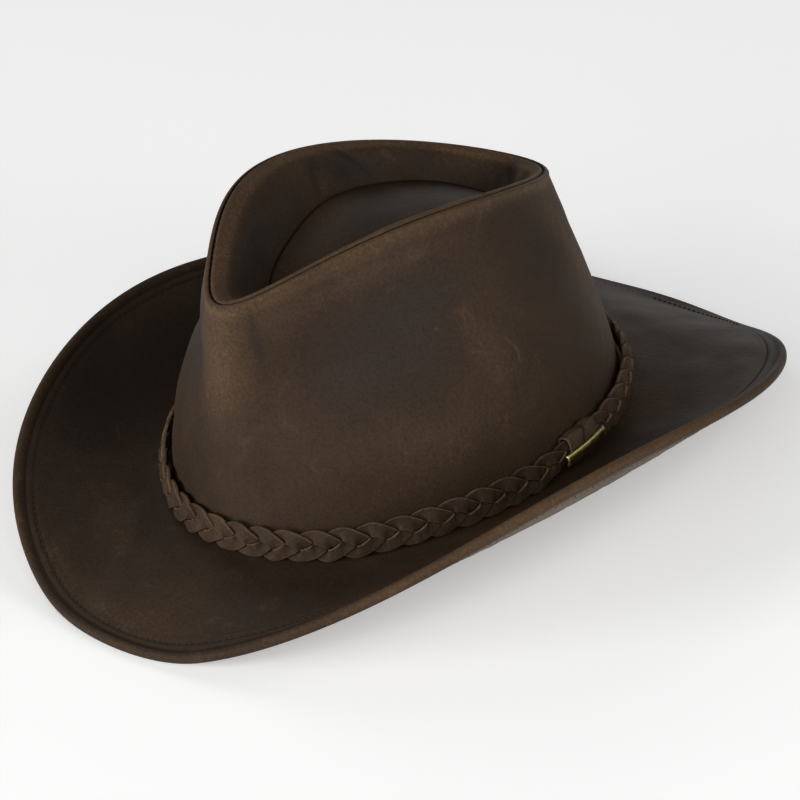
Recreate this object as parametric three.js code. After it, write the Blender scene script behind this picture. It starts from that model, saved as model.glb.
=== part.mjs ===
import * as THREE from 'three';

// A leather cowboy hat: creased crown with a sunk top, rolled brim, three-strand braided band.
// Millimetres. The front is -Y, the wearer's left is +X, +Z is up, and the hat rests on z = 0.

// Driving sizes

const sectionsRound = 48;
const stitchGap = 0.3; // between pieces that are sewn or lie together
const headOval = { halfWidth: 87.3, halfLength: 104.0, middle: -2.6 }; // outside of the crown's foot
const crownWall = { thickness: 2.0, foot: 3.0, lean: 1.34, heldByBrim: 0.16 };
const wellWall = { thickness: 1.5, roundness: 1.6 };
const tipPanel = { thickness: 1.5, dome: 2.5, seam: { out: -0.35, up: -0.3 } };
const brimSheet = { thickness: 1.6, splitGap: 0.3, seamGap: 0.5 };
const hem = { halfDepth: 2.2, turnedUnder: 3.8, lowerSheetStart: 4.4 };
const rest = { softness: 1.0 }; // how gently the brim bends where the floor flattens it
const band = { standOff: 0.6, depth: 4.9, height: 13.2, liftOffBrim: 0.9, lean: 10 };
const braiding = { turns: 18, stepsPerTurn: 12 };
const strand = { width: 4.7, thickness: 1.1, sway: 4.1, startTurn: 1 / 24 };
const keeperSize = { start: 160.7, length: 18.8, wall: 1.1, clearance: 0.35, corner: 1.4, steps: 5 };
const squeeze = { rise: 0.3, out: 0.24, lift: 2.4, fade: 20 }; // how the keeper narrows and lifts the braid
const barSize = { start: 155.8, length: 25.4, height: 5.0, bulge: 1.4, thickness: 0.8, steps: 6 };
const barCentreAboveBand = 7.6;

// The four lines that shape the hat, with one row for each angle from the front (0) round the side
// to the back (180); both sides are alike. half is the half width that the row's oval would have,
// along is the place from front to back, height is above the floor, and slope is rise over run.

// The brim's middle layer where it meets the crown.
const brimRoot = [
  { angle: 0, height: 11.5, slope: -0.1 },
  { angle: 30, height: 12.5, slope: -0.06 },
  { angle: 60, height: 17.5, slope: 0.0 },
  { angle: 90, height: 20.2, slope: 0.04 },
  { angle: 120, height: 23.4, slope: -0.05 },
  { angle: 150, height: 24.1, slope: -0.15 },
  { angle: 180, height: 24.2, slope: -0.22 },
];

// The brim's outermost line.
const brimEdge = [
  { angle: 0, half: 150.9, along: -175.5, height: -2.2, slope: -0.57 },
  { angle: 30, half: 149.0, along: -153.0, height: 17.0, slope: -0.11 },
  { angle: 60, half: 141.7, along: -91.6, height: 45.0, slope: 0.83 },
  { angle: 90, half: 140.8, along: -3.9, height: 53.4, slope: 1.2 },
  { angle: 120, half: 147.0, along: 85.8, height: 35.9, slope: 0.43 },
  { angle: 150, half: 160.2, along: 153.1, height: 13.5, slope: -0.38 },
  { angle: 180, half: 165.6, along: 175.5, height: -2.2, slope: -0.62 },
];

// The stitched line on top of the crown.
const crestLine = [
  { angle: 0, half: 28.2, along: -93.1, height: 116.9 },
  { angle: 30, half: 30.4, along: -82.3, height: 121.7 },
  { angle: 60, half: 37.9, along: -57.2, height: 132.3 },
  { angle: 90, half: 45.9, along: -21.4, height: 137.0 },
  { angle: 120, half: 52.0, along: 25.1, height: 129.2 },
  { angle: 150, half: 55.0, along: 68.6, height: 115.4 },
  { angle: 180, half: 55.1, along: 86.6, height: 108.3 },
];

// The seam round the bottom of the sunk top.
const floorSeam = [
  { angle: 0, half: 20.3, along: -63.5, height: 101.3 },
  { angle: 30, half: 21.3, along: -55.5, height: 107.4 },
  { angle: 60, half: 24.6, along: -30.4, height: 114.7 },
  { angle: 90, half: 29.9, along: -1.3, height: 116.3 },
  { angle: 120, half: 34.4, along: 31.4, height: 111.0 },
  { angle: 150, half: 36.5, along: 58.8, height: 102.9 },
  { angle: 180, half: 37.0, along: 68.3, height: 97.7 },
];

// Hollows pressed into both sides of the crown, and swellings, which have a negative depth.
const dents = [
  { name: 'front pinch', angle: 42, height: 0.64, depth: 7.8, spreadAngle: 23, spreadHeight: 0.16 },
  { name: 'cheek', angle: 55, height: 0.35, depth: -1.2, spreadAngle: 24, spreadHeight: 0.27 },
];

// How a thong of the braid rises off the crown (lift) and tips over (roll) as it sways from edge to
// edge once a turn: one row for each wave, with its number of waves in a turn.
const strandWaves = [
  { perTurn: 1, lift: 0, roll: -0.42 },
  { perTurn: 2, lift: 1.7, roll: 0 },
  { perTurn: 3, lift: 0, roll: 0.83 },
  { perTurn: 4, lift: 0.03, roll: 0 },
  { perTurn: 5, lift: 0, roll: 0.38 },
];

// Rolled lips on top of the crown, measured from the stitched line: out is away from the head.
const sideLip = [
  { out: 2.2, up: -1.0 },
  { out: 1.2, up: 0.0 },
  { out: 0.35, up: -0.9 },
  { out: 0.35, up: -3.4 },
];
const wellLip = [
  { out: 0.05, up: -3.2 },
  { out: 0.05, up: -0.9 },
  { out: -0.9, up: 0.0 },
];
const lipShoulder = { sideOut: 2.6, sideUp: -3.2, wellOut: -2.3, wellUp: -0.5 };

// The brim's rounded edge, from the underside round and over: inward from the edge, and up.
const hemRows = [
  { inward: 3.8, up: -2.2 },
  { inward: 1.4, up: -2.2 },
  { inward: 0.3, up: -1.1 },
  { inward: 0.3, up: 1.1 },
  { inward: 2.1, up: 2.2 },
  { inward: 3.5, up: 1.2 },
  { inward: 4.8, up: 1.75 },
];
const brimRows = [0, 0.2, 0.42, 0.64, 0.85];
const outerWallRows = [0, 0.14, 0.3, 0.46, 0.62, 0.76, 0.88, 1];
const innerWallRows = [0.9, 0.72, 0.5, 0.26, 0];
const wellRows = [0.16, 0.42, 0.7, 1];
const tipRings = [1, 0.68, 0.34];
const barRows = [-1, -0.5, 0, 0.5, 1];

// Helpers

const radians = THREE.MathUtils.degToRad;
const mix = THREE.MathUtils.lerp;

// A column of a table as a smooth function of the angle: the cosine series through its rows.
function smoothColumn(table, column) {
  const last = table.length - 1;
  const share = (i) => (i === 0 || i === last ? 0.5 : 1);
  const terms = table.map((_, k) => {
    const wave = (i) => Math.cos((Math.PI * k * i) / last);
    const sum = table.reduce((total, row, i) => total + share(i) * row[column] * wave(i), 0);
    return (2 * share(k) * sum) / last;
  });
  return (angle) => terms.reduce((total, term, k) => total + term * Math.cos(k * angle), 0);
}

// All the columns of a table as one function of the angle.
function smoothTable(table) {
  const columns = Object.keys(table[0]).filter((column) => column !== 'angle');
  const smooth = columns.map((column) => [column, smoothColumn(table, column)]);
  return (angle) => Object.fromEntries(smooth.map(([column, value]) => [column, value(angle)]));
}

const rootAt = smoothTable(brimRoot);
const edgeAt = smoothTable(brimEdge);
const crestAt = smoothTable(crestLine);
const floorAt = smoothTable(floorSeam);

function ovalPoint(angle, { half, along, height }) {
  return new THREE.Vector3(half * Math.sin(angle), along, height);
}

// The head's oval, made larger all round by grow.
function headPoint(angle, grow, height) {
  const { halfWidth, halfLength, middle } = headOval;
  const along = middle - (halfLength + grow) * Math.cos(angle);
  return ovalPoint(angle, { half: halfWidth + grow, along, height });
}

// Unit normal of a surface given as a function of the angle and a second parameter.
function surfaceNormal(surface, angle, second) {
  const step = 1e-3;
  const round = surface(angle + step, second).sub(surface(angle - step, second));
  const across = surface(angle, second + step).sub(surface(angle, second - step));
  return round.cross(across).normalize();
}

function raised(surface, angle, second, distance) {
  return surface(angle, second).addScaledVector(surfaceNormal(surface, angle, second), distance);
}

function meshFrom(name, positions, faces, material) {
  const geometry = new THREE.BufferGeometry();
  const coordinates = positions.flatMap((point) => point.toArray());
  geometry.setAttribute('position', new THREE.Float32BufferAttribute(coordinates, 3));
  geometry.setIndex(faces.flat());
  geometry.computeVertexNormals();
  const mesh = new THREE.Mesh(geometry, material);
  mesh.name = name;
  return mesh;
}

// Joins two loops of points, first and second, that start at these indices. From the point turned
// on, the squares are split along their other diagonal, so that two layers that face each other
// and run opposite ways are split alike.
function bandOfFaces(first, second, count, turned = count) {
  const faces = [];
  for (let i = 0; i < count; i += 1) {
    const next = (i + 1) % count;
    if (i < turned) {
      faces.push([first + i, second + i, first + next], [first + next, second + i, second + next]);
    } else {
      faces.push([first + i, second + i, second + next], [first + i, second + next, first + next]);
    }
  }
  return faces;
}

// A section carried round a closed path: section(i) gives one closed loop of points.
function closedRing(name, sectionCount, section, material, turned) {
  const loops = Array.from({ length: sectionCount }, (_, i) => section(i));
  const size = loops[0].length;
  const faces = [];
  for (let i = 0; i < sectionCount; i += 1) {
    faces.push(...bandOfFaces(i * size, ((i + 1) % sectionCount) * size, size, turned));
  }
  return meshFrom(name, loops.flat(), faces, material);
}

const angleOf = (i) => (2 * Math.PI * i) / sectionsRound;

// Surfaces

function hermite(u, startValue, startRate, endValue, endRate) {
  const u2 = u * u;
  const u3 = u2 * u;
  const fromStart = (2 * u3 - 3 * u2 + 1) * startValue + (u3 - 2 * u2 + u) * startRate;
  return fromStart + (3 * u2 - 2 * u3) * endValue + (u3 - u2) * endRate;
}

// Keeps the brim's middle layer from sinking below its rest level, with a soft bend.
function settle(height) {
  const above = height - hem.halfDepth;
  if (above > rest.softness) {
    return height;
  }
  if (above < -rest.softness) {
    return hem.halfDepth;
  }
  return hem.halfDepth + (above + rest.softness) ** 2 / (4 * rest.softness);
}

function brimEnds(angle) {
  const root = headPoint(angle, brimSheet.seamGap, rootAt(angle).height);
  const edge = ovalPoint(angle, edgeAt(angle));
  return { root, edge, run: Math.hypot(edge.x - root.x, edge.y - root.y) };
}

// The brim's middle layer: across is 0 at the crown and 1 at the edge.
function brimMiddle(angle, across) {
  const { root, edge, run } = brimEnds(angle);
  const height = hermite(across, root.z, rootAt(angle).slope * run, edge.z, edgeAt(angle).slope * run);
  return new THREE.Vector3(mix(root.x, edge.x, across), mix(root.y, edge.y, across), settle(height));
}

function acrossFromEdge(angle, inward) {
  return 1 - inward / (brimEnds(angle).run * Math.hypot(1, edgeAt(angle).slope));
}

// A point above the brim's middle layer by up: square to the brim, whose worked-out normal points
// down, and straight up along the crown's foot.
function brimLayer(angle, across, up) {
  if (across === 0) {
    return brimMiddle(angle, across).add(new THREE.Vector3(0, 0, up));
  }
  return raised(brimMiddle, angle, across, -up);
}

// The stitched line on top of the crown, and the seam round the floor of the sunk top.
function crestPoint(angle) {
  return ovalPoint(angle, crestAt(angle));
}

function floorPoint(angle) {
  return ovalPoint(angle, floorAt(angle));
}

// A point beside a line round the crown, away from its middle by out, and higher by up.
function beside(line, angle, { out, up }) {
  const step = 1e-3;
  const along = line(angle + step).sub(line(angle - step)).setZ(0).normalize();
  return line(angle).add(new THREE.Vector3(along.y * out, -along.x * out, up));
}

// How deep the hollows are here; the brim holds the crown's foot to its oval.
function dentDepth(angle, height) {
  const folded = Math.abs(Math.atan2(Math.sin(angle), Math.cos(angle)));
  const free = THREE.MathUtils.smoothstep(height, 0, crownWall.heldByBrim);
  return free * dents.reduce((sum, dent) => {
    const sideways = (folded - radians(dent.angle)) / radians(dent.spreadAngle);
    const upways = (height - dent.height) / dent.spreadHeight;
    return sum + dent.depth * Math.exp(-sideways * sideways - upways * upways);
  }, 0);
}

// The outside of the crown: height is 0 just above the brim and 1 where the lip starts.
function crownOutside(angle, height) {
  const { halfWidth, halfLength } = headOval;
  const foot = rootAt(angle).height + crownWall.foot;
  const top = beside(crestPoint, angle, { out: lipShoulder.sideOut, up: lipShoulder.sideUp });
  const bottom = headPoint(angle, 0, foot);
  const inwards = Math.max(height, 0) ** crownWall.lean;
  const outward = new THREE.Vector3(halfLength * Math.sin(angle), -halfWidth * Math.cos(angle), 0);
  return new THREE.Vector3(
    mix(bottom.x, top.x, inwards),
    mix(bottom.y, top.y, inwards),
    mix(bottom.z, top.z, height),
  ).addScaledVector(outward.normalize(), -dentDepth(angle, height));
}

// The wall of the sunk top: depth is 0 at the lip and 1 at the floor's seam.
function wellInside(angle, depth) {
  const start = beside(crestPoint, angle, { out: lipShoulder.wellOut, up: lipShoulder.wellUp });
  const end = floorPoint(angle);
  return new THREE.Vector3(
    mix(start.x, end.x, depth),
    mix(start.y, end.y, depth),
    mix(start.z, end.z, Math.max(depth, 0) ** wellWall.roundness),
  );
}

const tipCentre = floorPoint(0).lerp(floorPoint(Math.PI), 0.5).setZ(floorAt(Math.PI / 2).height);

// Leather

const hide = new THREE.MeshStandardMaterial({ color: 0x3a2a1f, roughness: 0.55, metalness: 0 });
const hideUnderside = new THREE.MeshStandardMaterial({ color: 0x5a4029, roughness: 0.75, metalness: 0 });
const thong = new THREE.MeshStandardMaterial({ color: 0x4a3627, roughness: 0.6, metalness: 0 });
const brass = new THREE.MeshStandardMaterial({ color: 0x9a8440, roughness: 0.35, metalness: 1 });

// The crown's side: up the outside, over the lip, and down the inside to a foot inside the brim.
function crownSide() {
  const section = (i) => {
    const angle = angleOf(i);
    const inner = crownWall.thickness;
    const footHeight = rootAt(angle).height - brimSheet.thickness;
    return [
      headPoint(angle, 0, footHeight),
      ...outerWallRows.map((height) => crownOutside(angle, height)),
      ...sideLip.map((offset) => beside(crestPoint, angle, offset)),
      ...innerWallRows.map((height) => raised(crownOutside, angle, height, -inner)),
      headPoint(angle, -inner, footHeight),
    ];
  };
  return closedRing('crown_side', sectionsRound, section, hide);
}

function crownWell() {
  const section = (i) => {
    const angle = angleOf(i);
    return [
      ...wellLip.map((offset) => beside(crestPoint, angle, offset)),
      ...wellRows.map((depth) => wellInside(angle, depth)),
      ...[...wellRows].reverse().map((depth) => raised(wellInside, angle, depth, -wellWall.thickness)),
    ];
  };
  return closedRing('crown_well', sectionsRound, section, hide);
}

// The panel at the bottom of the sunk top: rings of points inside the floor's seam, and two centres.
function crownTip() {
  const ring = (size, drop) =>
    Array.from({ length: sectionsRound }, (_, i) => {
      const rim = beside(floorPoint, angleOf(i), tipPanel.seam);
      const point = tipCentre.clone().lerp(rim, size);
      point.z += tipPanel.dome * (1 - size * size) - drop;
      return point;
    });
  const drops = [0, tipPanel.thickness];
  const points = drops.flatMap((drop) => tipRings.flatMap((size) => ring(size, drop)));
  const centres = drops.map((drop) => tipCentre.clone().setZ(tipCentre.z + tipPanel.dome - drop));
  points.push(...centres);
  const count = tipRings.length;
  const ringStart = (layer, k) => (layer * count + k) * sectionsRound;
  const faces = bandOfFaces(ringStart(0, 0), ringStart(1, 0), sectionsRound);
  for (let k = 0; k + 1 < count; k += 1) {
    faces.push(...bandOfFaces(ringStart(0, k + 1), ringStart(0, k), sectionsRound));
    faces.push(...bandOfFaces(ringStart(1, k), ringStart(1, k + 1), sectionsRound));
  }
  const topCentre = 2 * count * sectionsRound;
  for (let i = 0; i < sectionsRound; i += 1) {
    const next = (i + 1) % sectionsRound;
    const top = ringStart(0, count - 1);
    const under = ringStart(1, count - 1);
    faces.push([top + i, top + next, topCentre], [under + next, under + i, topCentre + 1]);
  }
  return meshFrom('crown_tip', points, faces, hide);
}

function brimUpper() {
  const low = brimSheet.splitGap / 2;
  const high = low + brimSheet.thickness;
  const section = (i) => {
    const angle = angleOf(i);
    return [
      ...brimRows.map((across) => brimLayer(angle, across, low)),
      brimLayer(angle, acrossFromEdge(angle, hem.turnedUnder), low),
      ...hemRows.map(({ inward, up }) => brimLayer(angle, acrossFromEdge(angle, inward), up)),
      ...[...brimRows].reverse().map((across) => brimLayer(angle, across, high)),
    ];
  };
  return closedRing('brim_upper', sectionsRound, section, hide, brimRows.length + 1 + hemRows.length);
}

function brimLower() {
  const high = -brimSheet.splitGap / 2;
  const low = high - brimSheet.thickness;
  const rowCount = brimRows.length + 1;
  const section = (i) => {
    const angle = angleOf(i);
    const rows = [...brimRows, acrossFromEdge(angle, hem.lowerSheetStart)];
    return [
      ...rows.map((across) => brimLayer(angle, across, low)),
      ...[...rows].reverse().map((across) => brimLayer(angle, across, high)),
    ];
  };
  return closedRing('brim_lower', sectionsRound, section, hideUnderside, rowCount);
}

// Braided band

// The band's middle line, a little outside the crown and above the brim.
function bandCentre(angle) {
  const out = band.standOff + band.depth / 2;
  const reach = out / brimEnds(angle).run;
  const brimTop = brimMiddle(angle, reach).z + brimSheet.splitGap / 2 + brimSheet.thickness;
  const halfHeight = (band.height / 2) * Math.cos(radians(band.lean));
  return headPoint(angle, out, brimTop + band.liftOffBrim + halfHeight);
}

const bandSamples = 360;
const bandPath = new THREE.CatmullRomCurve3(
  Array.from({ length: bandSamples }, (_, i) => bandCentre((2 * Math.PI * i) / bandSamples)), true,
);
bandPath.arcLengthDivisions = 4 * bandSamples;
const bandLength = bandPath.getLength();

// A point on the band: run is the distance along it, rise is up its face, out is away from the crown.
function bandPoint(run, rise, out) {
  const share = (((run / bandLength) % 1) + 1) % 1;
  const centre = bandPath.getPointAt(share);
  const tangent = bandPath.getTangentAt(share);
  const level = new THREE.Vector3(tangent.y, -tangent.x, 0).normalize();
  const lean = radians(band.lean);
  const outward = level.clone().multiplyScalar(Math.cos(lean)).setZ(Math.sin(lean));
  const upward = level.clone().multiplyScalar(-Math.sin(lean)).setZ(Math.cos(lean));
  return centre.addScaledVector(upward, rise).addScaledVector(outward, out);
}

// How much of the keeper's squeeze is left at this distance along the band: 1 inside it.
function squeezeLeft(run) {
  const middle = keeperSize.start + keeperSize.length / 2;
  const beyond = Math.abs(run - middle) - keeperSize.length / 2;
  return 1 - THREE.MathUtils.smoothstep(beyond, 0, squeeze.fade);
}

// The height of one of a thong's long edges (side 1 or -1) off the band's middle surface.
function strandOut(phase, side) {
  const wave = ({ perTurn, lift, roll }) => (lift - side * roll) * Math.sin(perTurn * phase);
  return strandWaves.reduce((sum, row) => sum + wave(row), 0);
}

// One flat thong of the braid. It lies over one neighbour where it crosses it and under the other.
function braidStrand(name, startTurn) {
  const steps = braiding.turns * braiding.stepsPerTurn;
  const turnLength = bandLength / braiding.turns;
  const section = (i) => {
    const run = (i / steps) * bandLength;
    const phase = 2 * Math.PI * (run / turnLength + startTurn);
    const slope = (-strand.sway * 2 * Math.PI * Math.sin(phase)) / turnLength;
    const halfRise = (strand.width / 2) * Math.hypot(1, slope);
    const narrow = 1 - squeeze.rise * squeezeLeft(run);
    const flatten = 1 - squeeze.out * squeezeLeft(run);
    const lift = squeeze.lift * squeezeLeft(run);
    const corner = (side, face) => {
      const rise = strand.sway * Math.cos(phase) + side * halfRise;
      const out = strandOut(phase, side) + (face * strand.thickness) / 2;
      return bandPoint(run, rise * narrow + lift, out * flatten);
    };
    return [corner(-1, -1), corner(-1, 1), corner(1, 1), corner(1, -1)];
  };
  return closedRing(name, steps, section, thong, 2);
}

// A section carried along a stretch of the band, with flat ends.
function cappedStretch(name, outline, start, length, steps, material) {
  const loops = Array.from({ length: steps + 1 }, (_, i) => {
    const run = start + (length * i) / steps;
    return outline.map(({ rise, out }) => bandPoint(run, rise, out));
  });
  const size = outline.length;
  const faces = [];
  for (let i = 0; i < steps; i += 1) {
    faces.push(...bandOfFaces(i * size, (i + 1) * size, size));
  }
  const flat = outline.map(({ rise, out }) => new THREE.Vector2(out, rise));
  const cap = THREE.ShapeUtils.triangulateShape(flat, []);
  faces.push(...cap);
  faces.push(...cap.map(([a, b, c]) => [steps * size + c, steps * size + b, steps * size + a]));
  return meshFrom(name, loops.flat(), faces, material);
}

const keeperInner = {
  rise: (band.height / 2) * (1 - squeeze.rise) + keeperSize.clearance,
  out: (band.depth / 2) * (1 - squeeze.out) + keeperSize.clearance,
};
const keeperOuter = { rise: keeperInner.rise + keeperSize.wall, out: keeperInner.out + keeperSize.wall };

// A rectangle with its corners cut off, as rise and out along the band.
function cutRectangle({ rise, out }) {
  const cut = keeperSize.corner / 2;
  return [
    { rise: -rise, out: cut - out },
    { rise: -rise, out: out - cut },
    { rise: cut - rise, out },
    { rise: rise - cut, out },
    { rise, out: out - cut },
    { rise, out: cut - out },
    { rise: rise - cut, out: -out },
    { rise: cut - rise, out: -out },
  ];
}

// The leather wrap that closes the braid: a flat sleeve, open at both ends.
function keeper() {
  const layer = (outline) =>
    Array.from({ length: keeperSize.steps + 1 }, (_, i) => {
      const run = keeperSize.start + (keeperSize.length * i) / keeperSize.steps;
      return outline.map(({ rise, out }) => bandPoint(run, rise + squeeze.lift, out));
    });
  const loops = [...layer(cutRectangle(keeperOuter)), ...layer(cutRectangle(keeperInner)).reverse()];
  return closedRing('keeper', loops.length, (i) => loops[i], thong);
}

// The brass bar along the lower half of the keeper: a thin plate bowed outward.
function brassBar() {
  const bow = (side) => barSize.bulge * (1 - side * side);
  const back = keeperOuter.out + stitchGap;
  const low = barCentreAboveBand - band.height / 2;
  const face = (off) =>
    barRows.map((side) => ({ rise: low + (side * barSize.height) / 2, out: back + bow(side) + off }));
  const outline = [...face(barSize.thickness), ...face(0).reverse()];
  return cappedStretch('brass_bar', outline, barSize.start, barSize.length, barSize.steps, brass);
}

const crown = new THREE.Group();
crown.add(crownSide(), crownWell(), crownTip());

const brim = new THREE.Group();
brim.add(brimUpper(), brimLower());

const braid = new THREE.Group();
['strand_a', 'strand_b', 'strand_c'].forEach((name, i) => {
  braid.add(braidStrand(name, strand.startTurn + i / 3));
});
braid.add(keeper(), brassBar());

const hat = new THREE.Group();
hat.add(crown, brim, braid);

export default hat;
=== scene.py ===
import math

import bpy
import numpy as np
from mathutils import Matrix, Vector


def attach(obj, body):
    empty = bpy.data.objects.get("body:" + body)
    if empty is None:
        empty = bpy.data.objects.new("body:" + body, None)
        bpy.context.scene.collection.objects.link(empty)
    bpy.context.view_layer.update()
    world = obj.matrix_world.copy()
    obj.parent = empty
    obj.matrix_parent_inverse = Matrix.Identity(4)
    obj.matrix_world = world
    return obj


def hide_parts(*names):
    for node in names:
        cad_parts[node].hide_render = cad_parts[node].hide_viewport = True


# A leather cowboy hat. The shapes are worked out in millimetres and put into metres when a mesh is
# made. The front is -Y, the wearer's left is +X, and the hat rests on z = 0.

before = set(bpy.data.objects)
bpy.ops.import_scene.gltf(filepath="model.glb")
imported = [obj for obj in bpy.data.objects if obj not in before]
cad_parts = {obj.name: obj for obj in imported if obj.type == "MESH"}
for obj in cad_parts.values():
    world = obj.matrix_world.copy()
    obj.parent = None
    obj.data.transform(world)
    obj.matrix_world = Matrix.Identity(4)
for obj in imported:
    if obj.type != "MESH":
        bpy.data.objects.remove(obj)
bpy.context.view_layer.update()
mm = 0.001
fullTurn = 2 * math.pi
smallStep = 0.001  # for the slopes of curves and surfaces
upright = np.array((0, 0, 1.0))


# camera

camera = {
    "position": (900.6, -875.8, 705.6),
    "right": (0.72539, 0.68178, -0.09478),
    "up": (-0.24418, 0.38361, 0.89063),
    "ahead": (-0.64357, 0.62291, -0.44474),
    "focalPixels": 3383.2,  # for an image 800 pixels wide
    "centreRight": 18.0,  # pixels from the lens's axis to the image's middle
    "centreDown": 108.8,
    "imagePixels": 800,
    "sensorWidth": 36.0,
}


def makeCamera(c):
    right, up, ahead = (np.array(c[name]) for name in ("right", "up", "ahead"))
    aim = ahead * c["focalPixels"] + right * c["centreRight"] - up * c["centreDown"]
    aim /= np.linalg.norm(aim)
    side = right - aim * (right @ aim)
    side /= np.linalg.norm(side)
    upward = np.cross(side, aim)
    data = bpy.data.cameras.new("camera")
    data.sensor_width = c["sensorWidth"]
    data.lens = c["focalPixels"] / c["imagePixels"] * c["sensorWidth"]
    data.clip_start = 0.05
    data.clip_end = 20.0
    eye = bpy.data.objects.new("camera", data)
    turn = Matrix((side, upward, -aim)).transposed().to_4x4()
    eye.matrix_world = Matrix.Translation(Vector(c["position"]) * mm) @ turn
    bpy.context.scene.collection.objects.link(eye)
    bpy.context.scene.camera = eye


makeCamera(camera)


# the four lines that shape the hat, as in the solids: one value for each 30 degrees from front to back

hatLines = {
    "rootHeight": (11.5, 12.5, 17.5, 20.2, 23.4, 24.1, 24.2),
    "rootSlope": (-0.1, -0.06, 0.0, 0.04, -0.05, -0.15, -0.22),
    "edgeHalf": (150.9, 149.0, 141.7, 140.8, 147.0, 160.2, 165.6),
    "edgeAlong": (-175.5, -153.0, -91.6, -3.9, 85.8, 153.1, 175.5),
    "edgeHeight": (-2.2, 17.0, 45.0, 53.4, 35.9, 13.5, -2.2),
    "edgeSlope": (-0.57, -0.11, 0.83, 1.2, 0.43, -0.38, -0.62),
    "crestHalf": (28.2, 30.4, 37.9, 45.9, 52.0, 55.0, 55.1),
    "crestAlong": (-93.1, -82.3, -57.2, -21.4, 25.1, 68.6, 86.6),
    "crestHeight": (116.9, 121.7, 132.3, 137.0, 129.2, 115.4, 108.3),
    "floorHalf": (20.3, 21.3, 24.6, 29.9, 34.4, 36.5, 37.0),
    "floorAlong": (-63.5, -55.5, -30.4, -1.3, 31.4, 58.8, 68.3),
    "floorHeight": (101.3, 107.4, 114.7, 116.3, 111.0, 102.9, 97.7),
}


def cosineSeries(values):
    # the cosine series that passes through evenly spaced values from angle 0 to pi
    rows = np.arange(len(values))
    last = len(values) - 1
    share = np.where((rows == 0) | (rows == last), 0.5, 1.0)
    waves = np.cos(math.pi * np.outer(rows, rows) / last)
    return 2 * share * (waves @ (share * np.array(values))) / last


lineTerms = {name: cosineSeries(values) for name, values in hatLines.items()}


def lineAt(name, angle):
    # sum of each term times the cosine of that many times the angle
    terms = lineTerms[name]
    return np.tensordot(terms, np.cos(np.multiply.outer(np.arange(len(terms)), angle)), axes=1)


def ovalPoint(angle, half, along, height):
    return np.stack(np.broadcast_arrays(half * np.sin(angle), along, height), axis=-1)


headOval = {"halfWidth": 87.3, "halfLength": 104.0, "middle": -2.6}


def headPoint(angle, grow, height):
    # the oval of the crown's foot, made larger all round by grow
    along = headOval["middle"] - (headOval["halfLength"] + grow) * np.cos(angle)
    return ovalPoint(angle, headOval["halfWidth"] + grow, along, height)


def ovalAt(name, angle):
    # the oval point that a line's three tables give: how far out, how far along and how high
    return ovalPoint(angle, *(lineAt(name + part, angle) for part in ("Half", "Along", "Height")))


def crestPoint(angle):
    return ovalAt("crest", angle)


def floorPoint(angle):
    return ovalAt("floor", angle)


def beside(line, angle, out, up):
    # a point beside a line round the crown: away from its middle by out, and higher by up
    along = line(angle + smallStep) - line(angle - smallStep)
    length = np.hypot(along[..., 0], along[..., 1])
    sideways = np.stack([along[..., 1] / length, -along[..., 0] / length, 0 * length], axis=-1)
    return line(angle) + sideways * np.asarray(out)[..., None] + upright * np.asarray(up)[..., None]


def unit(vectors):
    return vectors / np.linalg.norm(vectors, axis=-1, keepdims=True)


def normalsOf(surface, angle, second):
    # the cross product of the surface's two small steps, round the hat and across it
    around = surface(angle + smallStep, second) - surface(angle - smallStep, second)
    across = surface(angle, second + smallStep) - surface(angle, second - smallStep)
    return unit(np.cross(around, across))


def offSurface(surface, angle, second, distance):
    # a surface's point, moved along its normal
    return surface(angle, second) + normalsOf(surface, angle, second) * np.asarray(distance)[..., None]


def smoothStep(value, low, high):
    t = np.clip((value - low) / (high - low), 0, 1)
    return t * t * (3 - 2 * t)


def foldAngle(angle):
    # the angle from the front, alike on both sides: 0 at the front and pi at the back
    return np.abs(np.arctan2(np.sin(angle), np.cos(angle)))


def awayFrom(angle, middle):
    # degrees from a middle that is given in degrees, from -180 to 180
    return np.degrees(np.angle(np.exp(1j * (angle - math.radians(middle)))))


def runsAlong(points):
    # the distance along a line of points, from its first
    steps = np.linalg.norm(np.diff(points, axis=0), axis=1)
    return np.concatenate([[0], np.cumsum(steps)])


def softNoise(points, size, seed, octaves=2, waves=5):
    # sum of sine waves in turned directions; size is the wave's length in millimetres
    generator = np.random.default_rng(seed)
    total = np.zeros(points.shape[:-1])
    weight = 1.0
    for octave in range(octaves):
        for _ in range(waves):
            direction = unit(generator.normal(size=3)) * fullTurn / (size / 2**octave)
            direction = direction * generator.uniform(0.7, 1.3)
            total += weight * np.sin(points @ direction + generator.uniform(0, fullTurn)) / waves**0.5
        weight *= 0.5
    return total


# meshes

def meshObject(name, points, quads, material, fields=None):
    mesh = bpy.data.meshes.new(name)
    mesh.from_pydata((points * mm).tolist(), [], quads.tolist())
    mesh.polygons.foreach_set("use_smooth", np.full(len(mesh.polygons), True))
    for label, field in (fields or {}).items():
        attribute = mesh.attributes.new(label, "FLOAT", "POINT")
        attribute.data.foreach_set("value", field.astype(np.float32))
    mesh.materials.append(material)
    mesh.validate()
    mesh.update()
    piece = bpy.data.objects.new(name, mesh)
    bpy.context.scene.collection.objects.link(piece)
    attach(piece, "root")
    return piece


def gridQuads(rows, columns, closeRows=True):
    # squares between neighbouring points of a grid whose columns, and rows where asked, close on themselves
    r = np.arange(rows if closeRows else rows - 1)[:, None]
    c = np.arange(columns)[None, :]
    nextRow = (r + 1) % rows * columns
    nextColumn = (c + 1) % columns
    corners = (r * columns + c, nextRow + c, nextRow + nextColumn, r * columns + nextColumn)
    return np.stack(np.broadcast_arrays(*corners), axis=-1).reshape(-1, 4)


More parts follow.
